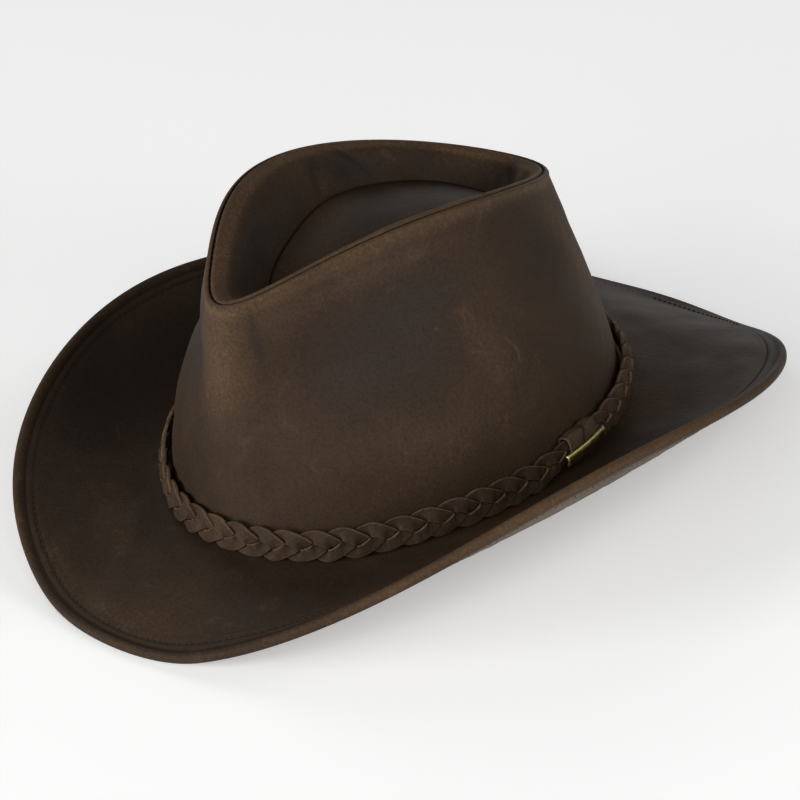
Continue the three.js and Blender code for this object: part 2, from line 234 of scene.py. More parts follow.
def gridObject(name, points, material, fields=None, turned=False):
    # a grid of points that closes both ways, with each field given for its rows and columns
    shape = points.shape[:2]
    quads = gridQuads(*shape)
    if turned:
        quads = quads[:, ::-1]
    flat = {label: np.broadcast_to(field, shape).ravel() for label, field in (fields or {}).items()}
    return meshObject(name, points.reshape(-1, 3), quads, material, flat)


# marks: soft places on the leather, each a row of a table. wear makes them lighter (rubbed leather, and
# painted light in a few rows), cool dulls them and shade darkens them; share is the way up or across, wide
# (in degrees) and tall are the spreads

markLabels = ("wear", "cool", "shade")


def hump(away, share, row):
    # e to the minus sum of two squares: each distance from the row's middle, over its spread
    return np.exp(-((away / row["wide"]) ** 2) - ((share - row["share"]) / row["tall"]) ** 2)


def sumOfHumps(label, rows, angle, share, mirrored):
    total = 0
    for row in rows:
        away = awayFrom(angle, row["angle"])
        if mirrored:
            away = np.degrees(foldAngle(angle)) - row["angle"]
        total = total + row.get(label, 0) * hump(away, share, row)
    return total


def markFields(rows, angle, share, shape, columns, mirrored=False):
    # one field for each kind of mark, with the rows' humps on some of the grid's columns
    fields = {label: np.zeros(shape) for label in markLabels}
    for label, field in fields.items():
        field[:, columns] = sumOfHumps(label, rows, angle, share, mirrored)
    return fields


print("frame loaded, helpers ready")


# leather, thread and brass

hideLook = {
    "dark": (0.031, 0.0188, 0.0114),
    "middle": (0.047, 0.0278, 0.0157),
    "light": (0.11, 0.0655, 0.0345),
    "cool": (0.036, 0.0252, 0.0195),
    "blotchSize": 13.0,
    "grainSize": 800.0,
    "grainDepth": 0.00012,
    "creaseDepth": 0.00035,
    "roughness": (0.56, 0.72),
    "specks": 0.5,
    "mottle": 0.2,
    "scuffSize": 75.0,
    "scuffs": 0.34,
    "sheen": 0.0,
    "specular": 0.09,
    "pores": (0.012, 0.008, 0.005),
    # crease: the near-black brown of the shade field, painted shade in creases, seams, furrows and under
    # crossing thongs
    "crease": (0.006, 0.0038, 0.0025),
}
undersideLook = {
    "dark": (0.062, 0.038, 0.02),
    "middle": (0.12, 0.074, 0.038),
    "light": (0.2, 0.132, 0.074),
    "cool": (0.08, 0.056, 0.038),
    "blotchSize": 60.0,
    "grainSize": 420.0,
    "grainDepth": 0.00035,
    "creaseDepth": 0.0003,
    "roughness": (0.72, 0.9),
    "specks": 0.3,
    "mottle": 0.45,
    "scuffSize": 110.0,
    "scuffs": 0.4,
    "sheen": 0.1,
    "specular": 0.09,
    "pores": (0.03, 0.018, 0.01),
    "crease": (0.02, 0.012, 0.007),
}
thongLook = {
    **hideLook,
    "dark": (0.033, 0.02, 0.0125),
    "middle": (0.052, 0.031, 0.0185),
    "light": (0.2, 0.126, 0.073),
    "cool": (0.04, 0.027, 0.0195),
    "blotchSize": 60.0,
    "grainSize": 900.0,
    "grainDepth": 0.0001,
    "creaseDepth": 0.00015,
    "roughness": (0.6, 0.74),
    "specks": 0.35,
    "mottle": 0.15,
    "scuffSize": 220.0,
    "scuffs": 0.2,
}


def newMaterial(name):
    material = bpy.data.materials.new(name)
    material.use_nodes = True
    tree = material.node_tree
    tree.nodes.clear()
    output = tree.nodes.new("ShaderNodeOutputMaterial")
    shader = tree.nodes.new("ShaderNodeBsdfPrincipled")
    tree.links.new(shader.outputs["BSDF"], output.inputs["Surface"])
    return material, tree, shader


def feed(tree, socket, value):
    # a socket takes another node's output or a fixed value
    if isinstance(value, bpy.types.NodeSocket):
        tree.links.new(value, socket)
    else:
        socket.default_value = value


def addNode(tree, kind, inputs=(), **settings):
    node = tree.nodes.new(kind)
    for name, value in settings.items():
        setattr(node, name, value)
    for name, value in dict(inputs).items():
        feed(tree, node.inputs[name], value)
    return node


def noise(tree, place, scale, detail=4.0, roughness=0.55, distortion=0.0):
    inputs = {"Vector": place, "Scale": scale, "Detail": detail}
    inputs.update({"Roughness": roughness, "Distortion": distortion})
    return addNode(tree, "ShaderNodeTexNoise", inputs).outputs["Fac"]


def remap(tree, value, low, high, toLow=0.0, toHigh=1.0):
    inputs = {"Value": value, "From Min": low, "From Max": high, "To Min": toLow, "To Max": toHigh}
    return addNode(tree, "ShaderNodeMapRange", inputs, interpolation_type="SMOOTHSTEP").outputs["Result"]


def mixColour(tree, share, first, second):
    node = addNode(tree, "ShaderNodeMix", data_type="RGBA")
    for place, value in ((0, share), (6, first), (7, second)):
        feed(tree, node.inputs[place], (*value, 1.0) if isinstance(value, tuple) else value)
    return node.outputs[2]


def calculate(tree, operation, first, second):
    node = addNode(tree, "ShaderNodeMath", operation=operation)
    feed(tree, node.inputs[0], first)
    feed(tree, node.inputs[1], second)
    return node.outputs[0]


def bump(tree, height, depth, strength, below=None):
    # the normal of a rough surface, laid over another rough surface where one is given
    inputs = {"Height": height, "Distance": depth, "Strength": strength}
    if below:
        inputs["Normal"] = below
    return addNode(tree, "ShaderNodeBump", inputs).outputs["Normal"]


def attributeValue(tree, name):
    return addNode(tree, "ShaderNodeAttribute", attribute_name=name).outputs["Fac"]


# where each layer of a leather comes in: low and high of the noise that it follows, and what they become
leatherLayers = {
    "middle": (0.36, 0.66),
    "cloud": (0.5, 0.8, 0.0, 0.3),
    "dullScuffs": (0.47, 0.34, 0.0),
    "paleScuffs": (0.53, 0.7, 0.0),
    "rubbedThrough": (0.25, 0.6, 0.65, 1.0),
    "mottle": (0.52, 0.72, 0.0),
    "specks": (0.1, 0.03),
    "fewSpecks": (0.55, 0.62),
    "pores": (0.56, 0.34, 0.08),
    "roughness": (0.3, 0.7),
}


def leather(name, look):
    # blotches of three browns, lighter where the piece's wear is high (rubbed leather, and painted light in
    # places), cooler where cool is high (grey patches, and painted shade in hollows and creases) and nearly
    # black where shade is high, with fine grain, creases and pale specks
    material, tree, shader = newMaterial(name)
    place = addNode(tree, "ShaderNodeTexCoord").outputs["Object"]
    blotches = noise(tree, place, look["blotchSize"], 8.0, 0.68, 0.4)
    cloud = noise(tree, place, look["blotchSize"] * 0.4, 3.0, 0.5, 0.2)
    fine = noise(tree, place, look["grainSize"], 4.0, 0.75)
    scuffs = noise(tree, place, look["scuffSize"], 6.0, 0.72, 1.2)
    spread = noise(tree, place, 60.0, 1.0)

    def layer(kind, value, *most):
        return remap(tree, value, *leatherLayers[kind], *most)

    base = mixColour(tree, layer("middle", blotches), look["dark"], look["middle"])
    cooled = calculate(tree, "ADD", attributeValue(tree, "cool"), layer("cloud", cloud))
    base = mixColour(tree, remap(tree, cooled, 0.0, 1.0), base, look["cool"])
    base = mixColour(tree, layer("dullScuffs", scuffs, look["scuffs"]), base, look["cool"])
    wearAndPaintedLight = calculate(tree, "MULTIPLY", attributeValue(tree, "wear"), layer("rubbedThrough", blotches))
    wearAndPaintedLight = calculate(tree, "ADD", wearAndPaintedLight, layer("mottle", fine, look["mottle"]))
    wearAndPaintedLight = calculate(tree, "ADD", wearAndPaintedLight, layer("paleScuffs", scuffs, look["scuffs"] * 0.7))
    base = mixColour(tree, remap(tree, wearAndPaintedLight, 0.0, 1.0), base, look["light"])
    cells = addNode(tree, "ShaderNodeTexVoronoi", {"Vector": place, "Scale": 95.0, "Randomness": 1.0})
    speckle = calculate(tree, "MULTIPLY", layer("specks", cells.outputs["Distance"]), look["specks"])
    speckle = calculate(tree, "MULTIPLY", speckle, layer("fewSpecks", spread))
    base = mixColour(tree, speckle, base, look["light"])
    base = mixColour(tree, layer("pores", fine, look["mottle"] + 0.25), base, look["pores"])
    # painted shade: nearly black where the shade field is high, in creases, seams and furrows and under
    # crossing thongs
    base = mixColour(tree, attributeValue(tree, "shade"), base, look["crease"])
    tree.links.new(base, shader.inputs["Base Color"])
    tree.links.new(layer("roughness", blotches, *look["roughness"]), shader.inputs["Roughness"])
    shader.inputs["Sheen Weight"].default_value = look["sheen"]
    shader.inputs["Sheen Roughness"].default_value = 0.5
    shader.inputs["Specular IOR Level"].default_value = look["specular"]
    inputs = {"Vector": place, "Scale": look["grainSize"], "Randomness": 1.0}
    grain = addNode(tree, "ShaderNodeTexVoronoi", inputs, feature="SMOOTH_F1").outputs["Distance"]
    creases = noise(tree, place, look["blotchSize"] * 6.0, 8.0, 0.65, 1.2)
    rough = bump(tree, creases, look["creaseDepth"], 0.6)
    rough = bump(tree, grain, look["grainDepth"], 0.7, rough)
    rough = bump(tree, fine, look["grainDepth"], 0.8, rough)
    tree.links.new(rough, shader.inputs["Normal"])
    return material


threadLook = {
    "dark": (0.012, 0.009, 0.007),
    "light": (0.045, 0.032, 0.023),
    "twistSize": 1800.0,
    "twistDepth": 0.0001,
    "roughness": 0.7,
    "specular": 0.15,
}
brassLook = {
    "bare": (0.26, 0.212, 0.062),
    "dull": (0.16, 0.135, 0.048),
    "rubbedAndHighlight": (0.75, 0.62, 0.3),
    "scratchScale": (900.0, 70.0, 900.0),
    "scratchDepth": 0.00008,
    "spotSize": 420.0,
    "roughness": (0.28, 0.5),
}


def threadMaterial(look):
    material, tree, shader = newMaterial("waxedThread")
    place = addNode(tree, "ShaderNodeTexCoord").outputs["Object"]
    twist = noise(tree, place, look["twistSize"], 2.0)
    tree.links.new(mixColour(tree, twist, look["dark"], look["light"]), shader.inputs["Base Color"])
    shader.inputs["Roughness"].default_value = look["roughness"]
    shader.inputs["Specular IOR Level"].default_value = look["specular"]
    tree.links.new(bump(tree, twist, look["twistDepth"], 0.6), shader.inputs["Normal"])
    return material


def brassMaterial(look):
    # olive brass, brighter where the wear field is high (rubbed ends, and a painted highlight along the
    # bar's top), with fine scratches along the bar and dull spots
    material, tree, shader = newMaterial("agedBrass")
    place = addNode(tree, "ShaderNodeTexCoord").outputs["Object"]
    inputs = {"Vector": place, "Scale": look["scratchScale"]}
    drawn = addNode(tree, "ShaderNodeMapping", inputs).outputs["Vector"]
    scratches = noise(tree, drawn, 1.0, 4.0, 0.6)
    spots = noise(tree, place, look["spotSize"], 4.0, 0.6)
    base = mixColour(tree, remap(tree, spots, 0.4, 0.7), look["bare"], look["dull"])
    base = mixColour(tree, attributeValue(tree, "wear"), base, look["rubbedAndHighlight"])
    tree.links.new(base, shader.inputs["Base Color"])
    shader.inputs["Metallic"].default_value = 1.0
    tree.links.new(remap(tree, scratches, 0.3, 0.75, *look["roughness"]), shader.inputs["Roughness"])
    tree.links.new(bump(tree, scratches, look["scratchDepth"], 0.5), shader.inputs["Normal"])
    return material


hide = leather("hide", hideLook)
hideUnderside = leather("hideUnderside", undersideLook)
thongLeather = leather("thongLeather", thongLook)
thread = threadMaterial(threadLook)
brass = brassMaterial(brassLook)
print("materials ready")


# crown

crownShape = {
    "sections": 480,
    "wallRows": 80,
    "innerRows": 24,
    "thickness": 2.0,
    "foot": 3.0,
    "footBelowRoot": 1.6,
    "lean": 1.34,
    "heldByBrim": 0.16,
    "shoulder": (2.6, -3.2),  # out and up from the stitched line
    "lip": ((2.72, -2.5), (2.62, -1.7), (2.15, -0.95), (1.45, -0.55), (0.85, -0.65), (0.5, -1.1),
            (0.2, -2.0), (-0.1, -3.4)),
    "lipSteps": 3,
    "innerTop": 0.93,  # where the inside starts, as a share of the height
    "relief": 0.3,
    "crestWear": 0.4,
    "lipWear": 0.5,
}

crownDents = (
    {"angle": 42, "share": 0.64, "wide": 23, "tall": 0.16, "depth": 7.8},
    {"angle": 55, "share": 0.35, "wide": 24, "tall": 0.27, "depth": -1.2},
    {"angle": 20, "share": 0.55, "wide": 7, "tall": 0.35, "depth": 0.9},
)

# the same on both sides; share is up the crown's side
crownMarks = (
    {"angle": 0, "share": 0.8, "wide": 17, "tall": 0.3, "wear": 0.56},
    {"angle": 14, "share": 0.4, "wide": 16, "tall": 0.2, "cool": 0.1, "shade": 0.1},
    {"angle": 21, "share": 0.85, "wide": 2.5, "tall": 0.12, "wear": -0.3, "cool": 0.6, "shade": 0.25},
    {"angle": 56, "share": 0.66, "wide": 26, "tall": 0.2, "wear": -0.1, "cool": 1.0, "shade": 0.12},
    {"angle": 78, "share": 0.79, "wide": 15, "tall": 0.06, "cool": 0.6, "shade": 0.15},
    {"angle": 88, "share": 0.56, "wide": 9, "tall": 0.16, "wear": 0.3},
    {"angle": 65, "share": 0.93, "wide": 40, "tall": 0.06, "wear": 0.3},
    {"angle": 121, "share": 0.75, "wide": 9, "tall": 0.14, "wear": -0.2, "cool": 0.4, "shade": 0.4},
    {"angle": 110, "share": 0.35, "wide": 10, "tall": 0.3, "wear": -0.1, "cool": 0.3, "shade": 0.05},
    # painted highlight: a lighter strip up the crown's two back corners
    {"angle": 138, "share": 0.5, "wide": 10, "tall": 0.5, "wear": 0.35},
    {"angle": 64, "share": 0.33, "wide": 24, "tall": 0.14, "wear": 0.28},
)


def crownOutside(angle, height):
    # from the foot's oval to the shoulder: level distance by the height to the power lean, less the dents
    top = beside(crestPoint, angle, *crownShape["shoulder"])
    bottom = headPoint(angle, 0, lineAt("rootHeight", angle) + crownShape["foot"])
    inwards = np.maximum(height, 0) ** crownShape["lean"]
    level = bottom + (top - bottom) * inwards[..., None]
    level[..., 2] = bottom[..., 2] + (top[..., 2] - bottom[..., 2]) * height
    depth = sumOfHumps("depth", crownDents, angle, height, mirrored=True)
    depth = depth * smoothStep(height, 0, crownShape["heldByBrim"])
    plan = (headOval["halfLength"] * np.sin(angle), -headOval["halfWidth"] * np.cos(angle), 0 * height)
    plan = np.stack(np.broadcast_arrays(*plan), axis=-1)
    return level - unit(plan) * depth[..., None]


def throughPoints(pairs, steps):
    # a smooth curve (uniform Catmull-Rom) through pairs of values, with steps samples to each stretch
    p = np.array([pairs[0], *pairs, pairs[-1]], float)
    t = (np.arange(steps) / steps)[:, None]
    a, b, c, d = (p[i : len(p) - 3 + i, None, :] for i in range(4))
    square = (2 * a - 5 * b + 4 * c - d) * t**2
    cube = (3 * b - a - 3 * c + d) * t**3
    curve = 0.5 * (2 * b + (c - a) * t + square + cube)
    return np.vstack([curve.reshape(-1, 2), p[-1]])


def roundAngles(count):
    return (np.arange(count) * fullTurn / count)[:, None]


def crownSide(c):
    # rows up the outside, over the lip, down the inside and under the foot, carried round the crown
    angle = roundAngles(c["sections"])
    height = np.linspace(0, 1, c["wallRows"])[None, :]
    outer = crownOutside(angle, height)
    relief = softNoise(outer, 60, 11) * c["relief"] + softNoise(outer, 21, 12) * c["relief"] * 0.35
    relief = relief * smoothStep(height, 0, 0.2) * smoothStep(height, 1, 0.8)
    outer = offSurface(crownOutside, angle, height, relief)
    lip = throughPoints(c["lip"], c["lipSteps"])
    over = beside(crestPoint, angle, lip[None, :, 0], lip[None, :, 1])
    innerHeight = np.linspace(c["innerTop"], 0, c["innerRows"])[None, :]
    inner = offSurface(crownOutside, angle, innerHeight, -c["thickness"])
    footHeight = lineAt("rootHeight", angle) - c["footBelowRoot"]
    feet = [headPoint(angle, -c["thickness"], footHeight), headPoint(angle, 0, footHeight)]
    points = np.concatenate([outer, over, inner, *feet], axis=1)
    outside = slice(0, c["wallRows"])
    onLip = slice(c["wallRows"], c["wallRows"] + len(lip))
    fields = markFields(crownMarks, angle, height, points.shape[:2], outside, mirrored=True)
    fields["wear"][:, outside] += c["crestWear"] * smoothStep(height, 0.95, 1.0)
    fields["wear"][:, onLip] = c["lipWear"]
    fields["shade"][:, onLip] = smoothStep(lip[:, 0], 1.1, 0.55)
    piece = gridObject("crownSide", points, hide, fields)
    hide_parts("crown_side")


crownSide(crownShape)
print("crown side made")


# sunk top

wellShape = {
    "sections": 480,
    "wallRows": 56,
    "thickness": 1.5,
    "roundness": 1.6,
    "start": (-2.3, -0.5),  # out and up from the stitched line
    "lip": ((0.05, -3.2), (0.02, -1.8), (-0.1, -0.9), (-0.45, -0.25), (-1.05, 0.1), (-1.7, 0.0)),
    "lipSteps": 3,
    "underRows": 16,
    "relief": 0.25,
    "lipWear": 0.6,
    "rimWear": 0.55,
    "creaseCool": 0.6,
    "creaseShade": 0.25,
}

wellCreases = (
    {"angle": 260, "lean": 24, "width": 2.4, "depth": 0.9},
    {"angle": 243, "lean": -5, "width": 2.2, "depth": 0.9},
    {"angle": 218, "lean": 5, "width": 2.4, "depth": 0.7},
    {"angle": 176, "lean": -16, "width": 2.8, "depth": 1.4},
    {"angle": 118, "lean": 4, "width": 2.6, "depth": 0.7},
    {"angle": 95, "lean": -4, "width": 3.0, "depth": 0.6},
)

# angles go from the front round the wearer's left; share is down the well's wall. The cool and shade of the
# rows at 252 and 182 degrees are painted shade where the wall folds
wellMarks = (
    {"angle": 252, "share": 0.65, "wide": 9, "tall": 0.3, "cool": 1.0, "shade": 0.3},
    {"angle": 318, "share": 0.6, "wide": 30, "tall": 0.25, "cool": 0.9, "shade": 0.25},
    {"angle": 182, "share": 0.5, "wide": 4, "tall": 0.5, "cool": 0.5, "shade": 0.35},
    {"angle": 170, "share": 0.4, "wide": 5, "tall": 0.3, "wear": 0.4},
    {"angle": 230, "share": 0.55, "wide": 10, "tall": 0.4, "wear": 0.15},
    {"angle": 200, "share": 0.4, "wide": 12, "tall": 0.35, "wear": 0.3},
)


def wellInside(angle, depth):
    # from the lip to the floor's seam: level distance by depth, height by depth to the power roundness
    start = beside(crestPoint, angle, *wellShape["start"])
    end = floorPoint(angle)
    along = np.clip(depth, 0, None)[..., None]
    level = start + (end - start) * along
    fall = along[..., 0] ** wellShape["roundness"]
    level[..., 2] = start[..., 2] + (end[..., 2] - start[..., 2]) * fall
    return level


def creaseDepth(angle, depth):
    # each crease is a slanted furrow, e to the minus square of its distance, fading at rim and floor
    total = 0
    for row in wellCreases:
        away = awayFrom(angle, row["angle"]) - row["lean"] * (depth - 0.5)
        total = total + row["depth"] * np.exp(-((away / row["width"]) ** 2))
    return total * np.sin(math.pi * np.clip(depth, 0, 1)) ** 0.7


def crownWell(w):
    # rows over the lip, down the wall and back up behind it, carried round the crest
    angle = roundAngles(w["sections"])
    lip = throughPoints(w["lip"], w["lipSteps"])
    over = beside(crestPoint, angle, lip[None, :, 0], lip[None, :, 1])
    depth = np.linspace(0, 1, w["wallRows"])[None, :]
    wall = wellInside(angle, depth)
    normals = normalsOf(wellInside, angle, np.maximum(depth, 0.02))
    crease = creaseDepth(angle, depth)
    relief = softNoise(wall, 34, 21) * w["relief"]
    relief = relief * smoothStep(depth, 0, 0.2) * smoothStep(depth, 1, 0.85)
    wall = wall + normals * (relief - crease)[..., None]
    under = np.linspace(1, 0.1, w["underRows"])[None, :]
    back = offSurface(wellInside, angle, under, -w["thickness"])
    points = np.concatenate([over, wall, back], axis=1)
    onLip = slice(0, len(lip))
    onWall = slice(len(lip), len(lip) + w["wallRows"])
    fields = markFields(wellMarks, angle, depth, points.shape[:2], onWall)
    fields["wear"][:, onWall] += w["rimWear"] * smoothStep(depth, 0.36, 0.14)
    fields["wear"][:, onLip] = w["lipWear"]
    # painted shade: cooler and darker along the creases and at the foot of the wall, and cooler down the
    # lower wall
    fields["cool"][:, onWall] += w["creaseCool"] * crease + 0.25 * smoothStep(depth, 0.3, 0.6)
    fields["shade"][:, onWall] += w["creaseShade"] * crease + 0.3 * smoothStep(depth, 0.95, 1.0)
    fields["shade"][:, onLip] = smoothStep(lip[:, 1], -0.5, -1.1)
    piece = gridObject("crownWell", points, hide, fields)
    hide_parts("crown_well")


tipShape = {
    "sections": 240,
    "rings": 40,
    "smallestRing": 0.0005,
    "thickness": 1.5,
    "dome": 2.5,
    "seam": (0.6, -0.3),
    "edgeRoll": 0.6,
    "relief": 0.35,
    "paintedLightAngle": 290,
    "paintedSideLight": 0.34,
    "paintedMiddleLight": 0.12,
    "cool": 0.45,
    "seamShade": 0.55,
}


def crownTip(t):
    # rings of the floor's seam drawn in to its middle: straight across the hat at the seam's height,
    # and domed by one minus the size squared
    angle = roundAngles(t["sections"])
    rim = beside(floorPoint, angle, *t["seam"])
    centre = (floorPoint(np.array(0.0)) + floorPoint(np.array(math.pi))) / 2
    size = np.linspace(t["smallestRing"], 1, t["rings"])[None, :]
    top = centre + (rim - centre) * size[..., None]
    halfTurn = np.linspace(0, math.pi, 200)
    top[..., 2] = np.interp(top[..., 1], lineAt("floorAlong", halfTurn), lineAt("floorHeight", halfTurn))
    top[..., 2] += t["dome"] * (1 - size**2) + t["seam"][1] - t["edgeRoll"] * smoothStep(size, 0.965, 1.0)
    top[..., 2] += t["relief"] * softNoise(top, 40, 31) * smoothStep(size, 1, 0.7)
    under = top[:, ::-1] - upright * t["thickness"]
    # painted light: the tip is lighter on the wearer's right side and in its middle, following the domed
    # floor's shading
    paintedLightSide = np.exp(-((np.radians(awayFrom(angle, t["paintedLightAngle"])) / 0.9) ** 2))
    wear = t["paintedSideLight"] * paintedLightSide * smoothStep(size, 0.2, 0.5)
    wear = wear + t["paintedMiddleLight"] * smoothStep(size, 0.2, 0.0)
    cool = t["cool"] * smoothStep(size, 1.1, 0.3)
    shade = t["seamShade"] * smoothStep(size, 0.955, 1.0)
    plain = np.zeros(top.shape[:2])
    fields = {}
    for label, field in zip(markLabels, (wear, cool, shade)):
        fields[label] = np.concatenate([field + plain, plain], axis=1)
    points = np.concatenate([top, under], axis=1)
    piece = gridObject("crownTip", points, hide, fields, turned=True)
    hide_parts("crown_tip")


crownWell(wellShape)
crownTip(tipShape)
print("sunk top made")


# brim

brimShape = {
    "sections": 480,
    "rows": 64,
    "underRows": 30,
    "sheet": 1.6,
    "splitGap": 0.3,
    "seamGap": -0.4,
    "halfDepth": 2.2,
    "restSoftness": 4.0,
    "innerRows": 6,
    # the rounded edge from the underside round and over: inward from the edge, and up
    "hem": ((3.7, -2.2), (2.8, -2.2), (1.9, -2.2), (1.0, -1.85), (0.25, -0.95), (0.1, 0.1), (0.35, 1.2),
            (1.1, 2.0), (2.2, 2.3), (3.3, 2.0), (4.1, 1.5), (4.8, 1.35), (5.6, 1.6), (6.6, 1.8), (7.6, 1.72),
            (8.5, 1.42), (9.4, 1.72), (10.6, 1.78), (12.0, 1.75)),
    "hemSteps": 3,
    "plainFrom": 143,  # degrees from the front, where the hem's furrows end
    "plainFade": 12,
    "lowerShort": 4.0,  # how far inside the edge the lower leather ends
    "relief": 0.35,
    "fleshRelief": 0.1,
    "hemCreases": ((4.9, 0.5, 0.6), (8.5, 0.6, 0.3)),  # inward from the edge, width, darkness
    "edgeWear": 0.28,
    "plainEdgeWear": 0.08,
}


def hermite(u, startValue, startRate, endValue, endRate):
    u2, u3 = u * u, u * u * u
    fromStart = (2 * u3 - 3 * u2 + 1) * startValue + (u3 - 2 * u2 + u) * startRate
    return fromStart + (3 * u2 - 2 * u3) * endValue + (u3 - u2) * endRate


def settle(height):
    # keeps the brim's middle layer from sinking below its rest level, with a soft bend
    soft = brimShape["restSoftness"]
    above = height - brimShape["halfDepth"]
    bend = (np.clip(above, -soft, soft) + soft) ** 2 / (4 * soft)
    return np.where(above > soft, height, brimShape["halfDepth"] + bend)


def brimEnds(angle):
    root = headPoint(angle, brimShape["seamGap"], lineAt("rootHeight", angle))
    edge = ovalAt("edge", angle)
    return root, edge, np.hypot(edge[..., 0] - root[..., 0], edge[..., 1] - root[..., 1])


def brimMiddle(angle, across):
    # level distance straight from the crown to the edge, height by the cubic with both ends' slopes
    root, edge, run = brimEnds(angle)
    point = root + (edge - root) * np.asarray(across)[..., None]
    height = hermite(across, root[..., 2], lineAt("rootSlope", angle) * run,
                     edge[..., 2], lineAt("edgeSlope", angle) * run)
    point[..., 2] = settle(height)
    return point


def edgeRun(angle):
    # the brim's width along its slope at the edge
    return brimEnds(angle)[2] * np.hypot(1, lineAt("edgeSlope", angle))


def acrossFromEdge(angle, inward):
    return 1 - inward / edgeRun(angle)


def brimLayer(angle, across, up):
    # above the middle layer by up: square to the brim, and straight up along the crown's foot
    away = smoothStep(across, 0.0, 0.12)[..., None]
    direction = upright * (1 - away) - normalsOf(brimMiddle, angle, across) * away
    return brimMiddle(angle, across) + unit(direction) * np.asarray(up)[..., None]


# share is the way from the crown to the edge
brimMarks = (
    {"angle": -30, "share": 0.45, "wide": 22, "tall": 0.22, "wear": 0.3},
    {"angle": -8, "share": 0.83, "wide": 20, "tall": 0.1, "wear": 0.28},
    {"angle": 12, "share": 0.6, "wide": 14, "tall": 0.3, "wear": 0.15},
    {"angle": -60, "share": 0.75, "wide": 26, "tall": 0.25, "cool": 0.6, "shade": 0.2},
    {"angle": -75, "share": 0.45, "wide": 30, "tall": 0.3, "cool": 0.4, "shade": 0.15},
    {"angle": 30, "share": 0.55, "wide": 16, "tall": 0.3, "wear": 0.06, "cool": 0.25},
    # these two rows are painted light on the hem's edge: lighter on the wearer's left, where bounce light
    # falls, and darker at the front
    {"angle": 10, "share": 1.0, "wide": 32, "tall": 0.06, "wear": -0.2, "shade": 0.05},
    {"angle": 76, "share": 1.0, "wide": 38, "tall": 0.07, "wear": 0.4},
    {"angle": 138, "share": 0.15, "wide": 16, "tall": 0.12, "wear": 0.15},
    {"angle": 138, "share": 0.7, "wide": 24, "tall": 0.3, "wear": -0.1, "cool": 0.2, "shade": 0.12},
    {"angle": 168, "share": 0.95, "wide": 22, "tall": 0.09, "wear": 0.1, "cool": 0.6},
    {"angle": 160, "share": 0.33, "wide": 5, "tall": 0.07, "cool": 0.3, "shade": 0.35},
    {"angle": 100, "share": 0.35, "wide": 18, "tall": 0.3, "cool": 0.4, "shade": 0.12},
)


def brimRelief(across, points):
    soft = smoothStep(across, 0.0, 0.15) * smoothStep(across, 0.93, 0.8)
    return brimShape["relief"] * soft * (softNoise(points, 75, 41) + 0.4 * softNoise(points, 26, 42))


def brimUpper(b):
    # rows out under the hem, round the edge and back over the top to the crown, carried round the hat
    angle = roundAngles(b["sections"])
    low = b["splitGap"] / 2
    high = low + b["sheet"]
    hem = throughPoints(b["hem"], b["hemSteps"])[None]
    hemAcross = acrossFromEdge(angle, hem[..., 0])
    plain = smoothStep(np.degrees(foldAngle(angle)), b["plainFrom"], b["plainFrom"] + b["plainFade"])
    flat = np.where((hem[..., 0] > 0.5) & (hem[..., 1] > 1.2), high, hem[..., 1])
    hemUp = hem[..., 1] + (flat - hem[..., 1]) * plain
    topAcross = hemAcross[:, -1:] * np.linspace(1, 0, b["rows"] + 1)[None, 1:]
    underAcross = acrossFromEdge(angle, b["hem"][0][0]) * np.linspace(0, 1, b["innerRows"])[None, :]
    across = np.concatenate([underAcross, hemAcross, topAcross], axis=1)
    relief = brimRelief(topAcross, brimMiddle(angle, topAcross))
    up = np.concatenate([low + 0 * underAcross, hemUp, high + relief], axis=1)
    points = brimLayer(angle, across, up)
    fields = markFields(brimMarks, angle, across, across.shape, slice(None))
    inward = (1 - across) * edgeRun(angle)
    edgeWear = b["edgeWear"] + (b["plainEdgeWear"] - b["edgeWear"]) * plain
    fields["wear"] += edgeWear * smoothStep(inward, 4.2, 2.5) * smoothStep(up, -2.6, 0.5)
    crease = 0
    for place, width, dark in b["hemCreases"]:
        crease = crease + dark * np.exp(-(((inward - place) / width) ** 2))
    fields["shade"] += crease * (1 - plain) * (up > 0.8)
    piece = gridObject("brimUpper", points, hide, fields)
    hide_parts("brim_upper")


def brimLower(b):
    # rows out along the underside and back between the two leathers, carried round the hat
    angle = roundAngles(b["sections"])
    high = -b["splitGap"] / 2
    low = high - b["sheet"]
    out = acrossFromEdge(angle, b["lowerShort"]) * np.linspace(0, 1, b["underRows"])[None, :]
    across = np.concatenate([out, out[:, ::-1]], axis=1)
    rough = b["fleshRelief"] * softNoise(brimMiddle(angle, out), 6, 51, 3) * smoothStep(out, 1, 0.9)
    up = np.concatenate([low + rough, high + 0 * out], axis=1)
    piece = gridObject("brimLower", brimLayer(angle, across, up), hideUnderside)
    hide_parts("brim_lower")


brimUpper(brimShape)
brimLower(brimShape)
print("brim made")


# the path of the braided band

bandShape = {
    "standOff": 0.6,
    "depth": 4.9,
    "height": 13.2,
    "liftOffBrim": 0.9,
    "lean": 10.0,
    "samples": 2880,
}
keeperShape = {
    "start": 160.7,
    "length": 18.8,
    "wall": 1.1,
    "clearance": 0.35,
    "squeezeRise": 0.3,
    "squeezeOut": 0.24,
    "squeezeLift": 2.4,
    "fade": 20.0,
    "lengthSteps": 56,
    "roundSteps": 72,
    "squareness": 3.6,
    "seamPlace": 0.47,
    "seamSlant": 2.4,
    "seamDepth": 0.75,
    "seamWidth": 0.4,
    "endRound": 0.55,
    "endDip": 0.45,
    "bulge": 0.35,
    "innerGap": 0.15,
}


